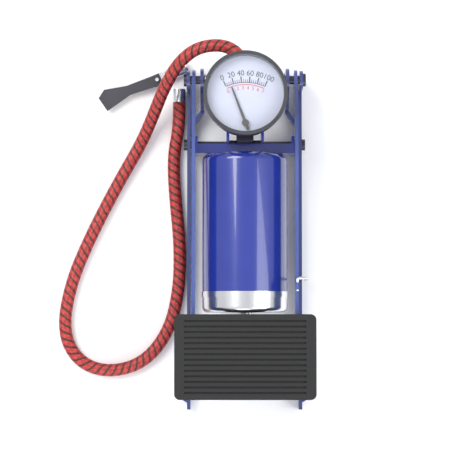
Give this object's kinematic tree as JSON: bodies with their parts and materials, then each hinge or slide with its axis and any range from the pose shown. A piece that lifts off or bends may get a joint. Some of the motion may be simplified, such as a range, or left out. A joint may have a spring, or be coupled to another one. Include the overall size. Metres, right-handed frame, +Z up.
{
  "type": "folding foot pump",
  "caption": "Folding foot-operated air pump with swinging barrel, pressure gauge, ribbed pedal, braided hose and thumb-lock chuck.",
  "frame": {"origin": "bottom centre of the folded pump without its hose and chuck", "axes": "+X right, +Y from the pedal towards the hinge, +Z up from the floor"},
  "size_m": [0.1831, 0.2614, 0.087],
  "materials": {
    "base_paint": "gloss paint",
    "lever_paint": "gloss paint",
    "barrel_paint": "gloss paint",
    "dark_steel": "blackened",
    "zinc": "bright zinc",
    "black_plastic": "moulded",
    "black_rubber": "moulded",
    "gauge_metal": "plated",
    "dial_face": "printed",
    "clear_lens": "clear",
    "needle_black": "satin",
    "brass": "machined",
    "hose_braid": "woven braid"
  },
  "bodies": {
    "base": {"base_strip_left": "base_paint", "base_strip_right": "base_paint", "pivot_bracket_left": "base_paint", "pivot_bracket_right": "base_paint", "pivot_pin_left": "dark_steel", "pivot_pin_right": "dark_steel", "return_spring_left": "zinc", "return_spring_right": "zinc", "base_cross_brace": "base_paint", "head_pivot_rod": "dark_steel", "chuck_body": "zinc", "chuck_gland": "black_rubber", "chuck_pin": "zinc", "chuck_ferrule": "zinc", "hose_floor_run": "hose_braid"},
    "lever": {"lever_strip_left": "lever_paint", "lever_strip_right": "lever_paint", "pedal_plate": "lever_paint", "pedal_pad": "black_rubber", "rod_eye_pin": "dark_steel", "latch_lug": "lever_paint"},
    "latch": {"latch_wire": "zinc"},
    "barrel": {"barrel_tube": "barrel_paint", "end_cap": "zinc", "rod_guide": "black_plastic", "head_crossbar": "barrel_paint", "valve_body": "dark_steel", "gauge_cradle_left": "barrel_paint", "gauge_cradle_right": "barrel_paint", "hose_outlet_ferrule": "zinc", "gauge_case": "gauge_metal", "gauge_bezel": "gauge_metal", "gauge_dial": "dial_face", "gauge_lens": "clear_lens", "gauge_movement": "brass", "hose_head_run": "hose_braid"},
    "needle": {"gauge_needle": "needle_black"},
    "rod": {"piston_rod": "zinc", "rod_eye": "zinc", "piston_cup": "black_rubber", "piston_plate": "zinc"},
    "chuck_flip": {"chuck_lever": "black_plastic"}
  },
  "joints": [
    {"name": "lever_fold", "type": "hinge", "parent": "base", "child": "lever", "pos_m": [0, 0.11005, 0.034], "axis": [-1, 0, 0], "range_deg": [0, 25]},
    {"name": "barrel_swing", "type": "hinge", "parent": "base", "child": "barrel", "pos_m": [0, 0.06605, 0.009], "axis": [-1, 0, 0], "range_deg": [0, 31]},
    {"name": "rod_slide", "type": "slide", "parent": "barrel", "child": "rod", "axis": [0, -1, 0], "range_m": [0, 0.018]},
    {"name": "needle_turn", "type": "hinge", "parent": "barrel", "child": "needle", "pos_m": [0, 0.07505, 0.079], "axis": [0, 0, -1], "range_deg": [0, 52]},
    {"name": "latch_swing", "type": "hinge", "parent": "lever", "child": "latch", "pos_m": [0.036, -0.03095, 0.0602], "axis": [0, -1, 0], "range_deg": [0, 100]},
    {"name": "chuck_lever_flip", "type": "hinge", "parent": "base", "child": "chuck_flip", "pos_m": [-0.06313, 0.11348, 0.0046], "axis": [0, 0, -1], "range_deg": [0, 90]}
  ],
  "couplings": [
    {"joint": "barrel_swing", "follows": "lever_fold", "ratio": 1.23},
    {"joint": "rod_slide", "follows": "lever_fold", "m_per_rad": 0.04068}
  ]
}
